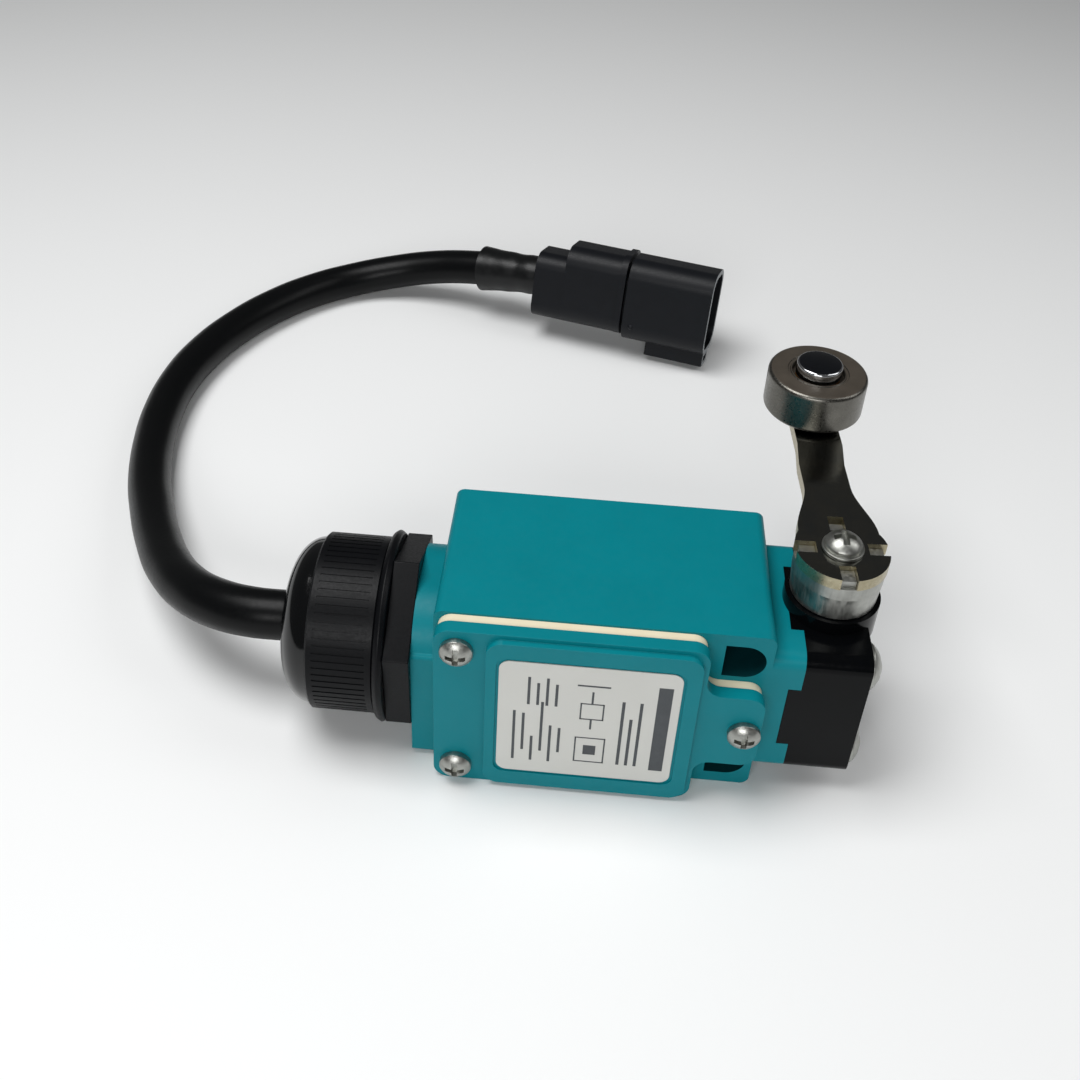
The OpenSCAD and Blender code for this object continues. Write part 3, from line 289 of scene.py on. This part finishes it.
def hold(piece):
    deselectAll()
    piece.select_set(True)
    bpy.context.view_layer.objects.active = piece


def applyModifier(piece, kind, **settings):
    hold(piece)
    step = piece.modifiers.new(kind.lower(), kind)
    for name, value in settings.items():
        setattr(step, name, value)
    bpy.ops.object.modifier_apply(modifier=step.name)


def settle(piece):  # puts the piece's place into its mesh
    hold(piece)
    bpy.ops.object.transform_apply(location=True, rotation=True, scale=True)


def pickFaces(piece, test):  # selects the faces that pass the test, and goes into edit mode
    hold(piece)
    bpy.ops.object.mode_set(mode="EDIT")
    bpy.ops.mesh.select_mode(type="FACE")
    bpy.ops.mesh.select_all(action="DESELECT")
    bpy.ops.object.mode_set(mode="OBJECT")
    for face in piece.data.polygons:
        face.select = test(face)
    bpy.ops.object.mode_set(mode="EDIT")


def leaveEdit():
    bpy.ops.object.mode_set(mode="OBJECT")


def join(pieces):
    deselectAll()
    for piece in pieces:
        piece.select_set(True)
    bpy.context.view_layer.objects.active = pieces[0]
    bpy.ops.object.join()
    return bpy.context.object


def turned(profile, sides):  # a turned piece on Z, extruded through (radius, height) steps
    bpy.ops.mesh.primitive_circle_add(vertices=sides, radius=profile[0][0] * mm,
                                      fill_type="NOTHING", location=(0, 0, profile[0][1] * mm))
    piece = bpy.context.object
    settle(piece)
    bpy.ops.object.mode_set(mode="EDIT")
    bpy.ops.mesh.select_all(action="SELECT")
    for (r0, z0), (r1, z1) in zip(profile, profile[1:]):
        rise = (0, 0, (z1 - z0) * mm)
        bpy.ops.mesh.extrude_region_move(TRANSFORM_OT_translate={"value": rise})
        bpy.ops.transform.resize(value=(r1 / r0, r1 / r0, 1), center_override=(0, 0, z1 * mm))
    bpy.ops.mesh.select_all(action="SELECT")
    bpy.ops.mesh.remove_doubles(threshold=turnedWeld)
    bpy.ops.mesh.normals_make_consistent(inside=False)
    leaveEdit()
    return piece


def closeEnds(piece):  # fills the holes at both ends
    hold(piece)
    bpy.ops.object.mode_set(mode="EDIT")
    bpy.ops.mesh.select_mode(type="EDGE")
    bpy.ops.mesh.select_all(action="DESELECT")
    bpy.ops.mesh.select_non_manifold()
    bpy.ops.mesh.edge_face_add()
    bpy.ops.mesh.select_all(action="SELECT")
    bpy.ops.mesh.normals_make_consistent(inside=False)
    leaveEdit()


def aim(piece, position, turn):  # stands a turned piece at its place, with its turn in degrees
    piece.location = position
    piece.rotation_euler = [math.radians(a) for a in turn]
    settle(piece)


def arc(radius, centre, start, end, steps):  # (radius, height) points round a corner
    turns = [math.radians(start + (end - start) * i / steps) for i in range(steps + 1)]
    return [(centre[0] + radius * math.cos(a), centre[1] + radius * math.sin(a)) for a in turns]


def softened(node, width, segments=3):  # a copy of a CAD node with its sharp edges rounded
    copy = frame["nodes"][node].copy()
    copy.data = copy.data.copy()
    for key in list(copy.keys()):
        del copy[key]
    copy.parent = None
    copy.name = node + ".soft"
    bpy.context.scene.collection.objects.link(copy)
    hold(copy)
    bpy.ops.object.mode_set(mode="EDIT")
    bpy.ops.mesh.select_all(action="SELECT")
    bpy.ops.mesh.remove_doubles(threshold=softening["weld"])
    bpy.ops.mesh.dissolve_limited(angle_limit=math.radians(softening["flatAngle"]))
    leaveEdit()
    applyModifier(copy, "BEVEL", width=width * mm, segments=segments, limit_method="ANGLE",
                  angle_limit=math.radians(softening["sharpAngle"]), use_clamp_overlap=True,
                  harden_normals=False)
    return copy


def paintFaces(piece, surface, test):  # gives the faces that pass the test a second finish
    piece.data.materials.append(finishes[surface])
    second = len(piece.data.materials) - 1
    for face in piece.data.polygons:
        if test(face):
            face.material_index = second


def finishPiece(piece, name, slot, body, nodes=(), smooth=35, surface=None):
    settle(piece)
    bpy.ops.object.shade_smooth_by_angle(angle=math.radians(smooth))
    # keeps flat faces flat beside soft edges
    applyModifier(piece, "WEIGHTED_NORMAL", keep_sharp=True)
    piece.name = name
    piece.data.name = name
    piece.data.materials.clear()
    piece.data.materials.append(finishes[surface or slot])
    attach(piece, body)
    if nodes:
        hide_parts(*nodes)
    return piece


# How far a face's normal has to point along an axis, 1 being straight along it
facing = {"plugMouth": 0.4, "armSide": 0.5, "axleTop": 0.93, "rollerTop": 0.95}

# The cable's free length, from the gland's mouth to the connector
cableRoute = {
    "diameter": 7.8,
    "length": 0.197,  # metres
    "resolution": 8,
    "points": [
        (-23.6, 11.5, 15.5), (-30, 11.9, 15.2), (-36, 14, 14.2), (-42, 18.4, 12.4),
        (-47.5, 25, 10.2), (-52.5, 33.5, 8), (-57, 43, 6.2), (-61, 53, 4.9), (-64, 64, 4.1),
        (-65.6, 75, 4), (-65.6, 86, 4), (-63.6, 97, 4), (-59.6, 107.5, 4), (-53.6, 117.5, 4),
        (-46, 126, 4), (-37.5, 131.6, 4.4), (-28, 133.9, 6), (-18.5, 133.5, 8.2),
        (-9, 130.9, 10.4), (0, 127.6, 12), (7, 125.1, 12.8)],
}


def makeCable():
    bpy.ops.curve.primitive_bezier_curve_add(location=(0, 0, 0))
    cable = bpy.context.object
    spline = cable.data.splines[0]
    spline.bezier_points.add(len(cableRoute["points"]) - 2)
    for knot, point in zip(spline.bezier_points, cableRoute["points"]):
        knot.co = place(*point)
        knot.handle_left_type = knot.handle_right_type = "AUTO"
    cable.data.dimensions = "3D"
    cable.data.resolution_u = cableRoute["resolution"]
    cable.data.bevel_depth = cableRoute["diameter"] / 2 * mm
    cable.data.bevel_resolution = cableRoute["resolution"]
    cable.data.use_fill_caps = True
    cable.name = "cableJacket"
    cable.data.materials.append(finishes["cable_pvc"])
    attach(cable, "root")
    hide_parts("cable")
    return cable


# The connector: where its rear face is, how it lies, and how far the rim with the painted
# highlight is from that face
plug = {"position": (7, 125.1, 12.8), "turn": -15, "roll": -14, "rimReach": 39.4}
shellDot = {"position": (23.4, -6.0, -5.4), "radius": 0.65, "rings": 12}
sleeve = {
    "start": (-6.6, 130, 10.9), "bore": 3.95, "rim": 0.15, "wide": 10.3, "waist": 8.7,
    "taper": 2.2,  # power of the fall from the wide end to the waist
    "wrinkle": 0.12, "wave": 17,  # the wrinkles' height, and their radians along the sleeve
    "steps": 22, "sides": 48,
}


def makeSleeve():
    a, b = Vector(sleeve["start"]), Vector(plug["position"])
    run = (b - a).length
    steps, rim = sleeve["steps"], sleeve["rim"]
    flare = (sleeve["wide"] - sleeve["waist"]) / 2
    profile = [(sleeve["bore"], 0)]
    for i in range(steps + 1):
        t = i / steps
        radius = sleeve["waist"] / 2 + flare * (1 - t) ** sleeve["taper"]
        radius += sleeve["wrinkle"] * math.sin(t * sleeve["wave"]) * t
        profile.append((radius, rim + t * (run - rim)))
    piece = turned(profile, sleeve["sides"])
    closeEnds(piece)
    piece.rotation_mode = "QUATERNION"
    piece.rotation_quaternion = (b - a).to_track_quat("Z", "Y")
    piece.location = place(*sleeve["start"])
    return finishPiece(piece, "heatShrinkSleeve", "shrink_sleeve", "root", ["heat_shrink_sleeve"],
                       smooth=50)


def plugPlace(x, y, z):  # a place measured from the connector's rear face, along its own axes
    tilt = Matrix.Rotation(math.radians(plug["turn"]), 3, "Z")
    tilt = tilt @ Matrix.Rotation(math.radians(plug["roll"]), 3, "X")
    return place(*plug["position"]) + tilt @ Vector((x, y, z)) * mm


def dotted(piece):  # the small moulded dot on the shell's side, near the gap
    rings = shellDot["rings"]
    bpy.ops.mesh.primitive_uv_sphere_add(segments=2 * rings, ring_count=rings,
                                         radius=shellDot["radius"] * mm,
                                         location=plugPlace(*shellDot["position"]))
    return join([piece, bpy.context.object])


cable = makeCable()
shrinkSleeve = makeSleeve()
boot = finishPiece(softened("connector_boot", width=0.5, segments=4), "connectorBoot",
                   "plug_thermoplastic", "root", ["connector_boot"])
shell = finishPiece(dotted(softened("connector_shell", width=0.35)), "connectorShell",
                    "plug_thermoplastic", "root", ["connector_shell"])
mouthAxis = plugPlace(1, 0, 0) - plugPlace(0, 0, 0)
mouthAxis.normalize()


def atHighlightedRim(face):  # the mouth's rim and the latch rail's end are painted pale as a highlight
    reach = (face.center - plugPlace(0, 0, 0)).dot(mouthAxis)
    return reach > plug["rimReach"] * mm and face.normal.dot(mouthAxis) > facing["plugMouth"]


# the shell's mouth rim gets a pale painted highlight
paintFaces(shell, "mouth_rim_highlight", atHighlightedRim)
print("cable, sleeve and connector made")

# Body, cover and head: the CAD's own shapes with their edges softened
bodyPieces = [
    # node, name of its piece, edge rounding in mm
    ("housing", "dieCastBody", 0.45), ("cover_gasket", "coverGasket", 0.25),
    ("front_cover", "frontCover", 0.5), ("rating_label", "ratingLabel", 0.05),
    ("cover_screws", "coverScrews", 0.12), ("head_housing", "headCasting", 0.5),
    ("head_screws", "headScrews", 0.16), ("gland_body", "glandHexagon", 0.4),
    ("gland_ring", "glandRing", 0.2),
]
for node, name, width in bodyPieces:
    finishPiece(softened(node, width), name, nodeSlots[node], "root", [node])

# A generic print for the label, with nothing that reads as a letter: a heading bar, ruled
# columns, a framed block and a contact sketch.
# A mark is (x, z, length, height) from the label's lower left corner, in mm.
labelPrint = {
    "thickness": 0.02,
    "sink": 0.01,  # how deep the marks go into the label
    "frameLine": 0.22,
    "bar": (22.2, 2.6, 2.0, 17.6),
    "columns": [
        # "shift" lifts every second line; in each "cycle" a line is shorter by "cut" than the last
        {"lines": 3, "x": 19.9, "pitch": -1.25, "z": 3.2, "shift": 0, "width": 0.45,
         "length": 13.5, "cut": 3.5, "cycle": 2},
        {"lines": 6, "x": 2.2, "pitch": 1.3, "z": 2.6, "shift": 2.2, "width": 0.4,
         "length": 10.5, "cut": 2.6, "cycle": 3},
        {"lines": 4, "x": 4.1, "pitch": 1.3, "z": 14.6, "shift": 0, "width": 0.4,
         "length": 5.6, "cut": 1.1, "cycle": 2},
    ],
    # each frame, with the plain marks that go with it
    "frames": [
        ((11.2, 3.2, 4.4, 5.4), [(12.5, 4.9, 1.8, 2.0)]),
        ((11.6, 12.4, 3.4, 3.4), [(13.1, 10.4, 0.3, 2.0), (13.1, 15.8, 0.3, 2.4),
                                  (11.0, 19.2, 4.6, 0.3)]),
    ],
}


def mark(x, z, length, height):
    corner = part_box("rating_label")[0]
    near = Vector((corner.x + x * mm, corner.y - labelPrint["thickness"] * mm,
                   corner.z + z * mm))
    far = Vector((corner.x + (x + length) * mm, corner.y + labelPrint["sink"] * mm,
                  corner.z + (z + height) * mm))
    bpy.ops.mesh.primitive_cube_add(size=1, location=(near + far) / 2)
    bpy.context.object.scale = far - near
    return bpy.context.object


def frameMarks(x, z, length, height):
    line = labelPrint["frameLine"]
    return [mark(x, z, length, line), mark(x, z + height - line, length, line),
            mark(x, z, line, height), mark(x + length - line, z, line, height)]


def columnMarks(column):
    return [mark(column["x"] + i * column["pitch"], column["z"] + column["shift"] * (i % 2),
                 column["width"], column["length"] - column["cut"] * (i % column["cycle"]))
            for i in range(column["lines"])]


def makeLabelPrint():
    marks = [mark(*labelPrint["bar"])]
    for column in labelPrint["columns"]:
        marks += columnMarks(column)
    for outline, sketch in labelPrint["frames"]:
        marks += frameMarks(*outline)
        marks += [mark(*line) for line in sketch]
    finishPiece(join(marks), "labelPrint", "label_film", "root", surface="label_ink")


makeLabelPrint()

# The lever's pieces in the same way, then a painted highlight on the arm's sides and a painted
# dark reflection on the axle's top
leverPieces = [
    ("lever_hub", "leverHub", 0.35), ("lever_arm", "leverArm", 0.18),
    ("lever_washer", "leverWasher", 0.1), ("lever_screw", "leverScrew", 0.14),
    ("roller_axle", "rollerAxle", 0.3), ("axle_washer", "axleWasher", 0.08),
]
for node, name, width in leverPieces:
    finishPiece(softened(node, width), name, nodeSlots[node], "lever", [node])
# the arm's sides get a painted highlight
paintFaces(bpy.data.objects["leverArm"], "arm_edge_highlight",
           lambda face: abs(face.normal.z) < facing["armSide"])
# the axle's top gets a painted dark reflection
paintFaces(bpy.data.objects["rollerAxle"], "axle_top_painted_reflection",
           lambda face: face.normal.z > facing["axleTop"])

# The mounting recesses' insides: between the neck and the cover, behind the front face
recess = {"low": (40.2, 0.6), "high": (46.9, 22.4), "across": ((1.2, 8.6), (22.4, 29.8))}


def inRecess(face):
    x, y, z = (face.center - bodyCorner) / mm
    deep = recess["low"][0] < x < recess["high"][0] and recess["low"][1] < y < recess["high"][1]
    return deep and any(a < z < b for a, b in recess["across"])


# the recesses' faces get dark teal as painted shade
paintFaces(bpy.data.objects["dieCastBody"], "teal_painted_shade", inRecess)

# The roller: rounded edges, and a well round the axle with a lip and a fine groove
roller = {
    "radius": 7.8, "edge": 0.7, "bore": 3.55, "well": 4.1, "wellDepth": 0.9, "lip": 0.35,
    "chamfer": 0.1, "groove": 0.12,
    "lowerArc": (-75, 0, 3), "upperArc": (0, 90, 4),  # start and end in degrees, and steps
    "sides": 96,
}


def makeRoller():
    low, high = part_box("roller")
    height = (high.z - low.z) / mm
    r, edge, bore, well = roller["radius"], roller["edge"], roller["bore"], roller["well"]
    lip, cut, groove = roller["lip"], roller["chamfer"], height - roller["groove"]
    wellFloor = height - roller["wellDepth"]
    profile = [(bore, 0), (r - edge, 0)]
    profile += arc(edge, (r - edge, edge), *roller["lowerArc"])
    profile += arc(edge, (r - edge, height - edge), *roller["upperArc"])
    profile += [(well + 2 * lip, height), (well + 2 * lip - cut, groove), (well + lip, groove),
                (well + lip - cut, height), (well + cut, height), (well, height - cut),
                (well, wellFloor), (bore, wellFloor), (bore, 0)]
    piece = turned(profile, roller["sides"])
    aim(piece, ((low.x + high.x) / 2, (low.y + high.y) / 2, low.z), (0, 0, 0))
    finishPiece(piece, "rollerTyre", "roller_steel", "roller", ["roller"], smooth=40)
    # the roller's upward faces get painted shade
    paintFaces(piece, "roller_top_painted_shade", lambda face: face.normal.z > facing["rollerTop"])


makeRoller()
print("body, head and lever made")

# The gland's nut, ribbed and with a domed nose. Heights go up from the foot of the ribs,
# and the nose points down.
nut = {
    "diameter": 26.6, "length": 10.1, "bore": 10.35, "axis": (11.5, 15.5), "front": -8.7,
    "chamfer": 0.3, "plainBand": 1.2, "web": 0.4, "shoulder": 0.1, "step": 0.7,
    "nose": 4.8, "noseRim": 5.1, "mouth": 4.1, "mouthLip": (0.5, 0.1), "mouthDepth": 0.6,
    "domePower": 0.85, "domeStart": 84, "domeStep": 6,  # the dome's angles in degrees
    "ribs": 72, "ribDepth": 0.11, "ribEnd": 1.3, "ribSkin": 0.5, "strips": 4,  # strips to a rib
}


def nutProfile():
    r, top, web = nut["diameter"] / 2, nut["length"], nut["web"]
    cut, band, shoulder, nose = nut["chamfer"], nut["plainBand"], nut["shoulder"], nut["nose"]
    swell = r - nut["step"] - nut["noseRim"]
    angles = [math.radians(a) for a in range(nut["domeStart"], -1, -nut["domeStep"])]
    domed = [(nut["noseRim"] + swell * math.sin(a) ** nut["domePower"], -nose * math.cos(a))
             for a in angles]
    profile = [(nut["bore"], top), (r - cut, top), (r, top - cut), (r, top - band), (r, band),
               (r, web), (r - cut, shoulder), (r - nut["step"] + shoulder, shoulder / 2)]
    lipWidth, lipHeight = nut["mouthLip"]
    return profile + domed + [(nut["noseRim"] - lipWidth, -nose + lipHeight),
                              (nut["mouth"], -nose + nut["mouthDepth"]),
                              (nut["mouth"], web), (nut["bore"], web)]


def inGroove(face):  # one strip in four round the nut, clear of its plain bands
    x, y, z = face.center / mm
    strip = round(math.atan2(y, x) / math.tau * nut["ribs"] * nut["strips"] - 0.5)
    outside = math.hypot(x, y) > nut["diameter"] / 2 - nut["ribSkin"]
    return (outside and strip % nut["strips"] == 0
            and nut["ribEnd"] < z < nut["length"] - nut["ribEnd"])


def makeGlandNut():
    piece = turned(nutProfile(), nut["ribs"] * nut["strips"])
    pickFaces(piece, inGroove)
    sunk = {"value": -nut["ribDepth"] * mm}
    bpy.ops.mesh.extrude_region_shrink_fatten(TRANSFORM_OT_shrink_fatten=sunk)
    leaveEdit()
    foot = nut["front"] - nut["length"]
    aim(piece, place(foot, *nut["axis"]), (0, 90, 0))
    finishPiece(piece, "glandNut", "gland_nylon", "root", ["gland_nut"], smooth=30)
    noseEnd = place(foot + nut["shoulder"], 0, 0).x
    paintFaces(piece, "nose_nylon", lambda face: face.center.x < noseEnd)


makeGlandNut()
print("gland made")
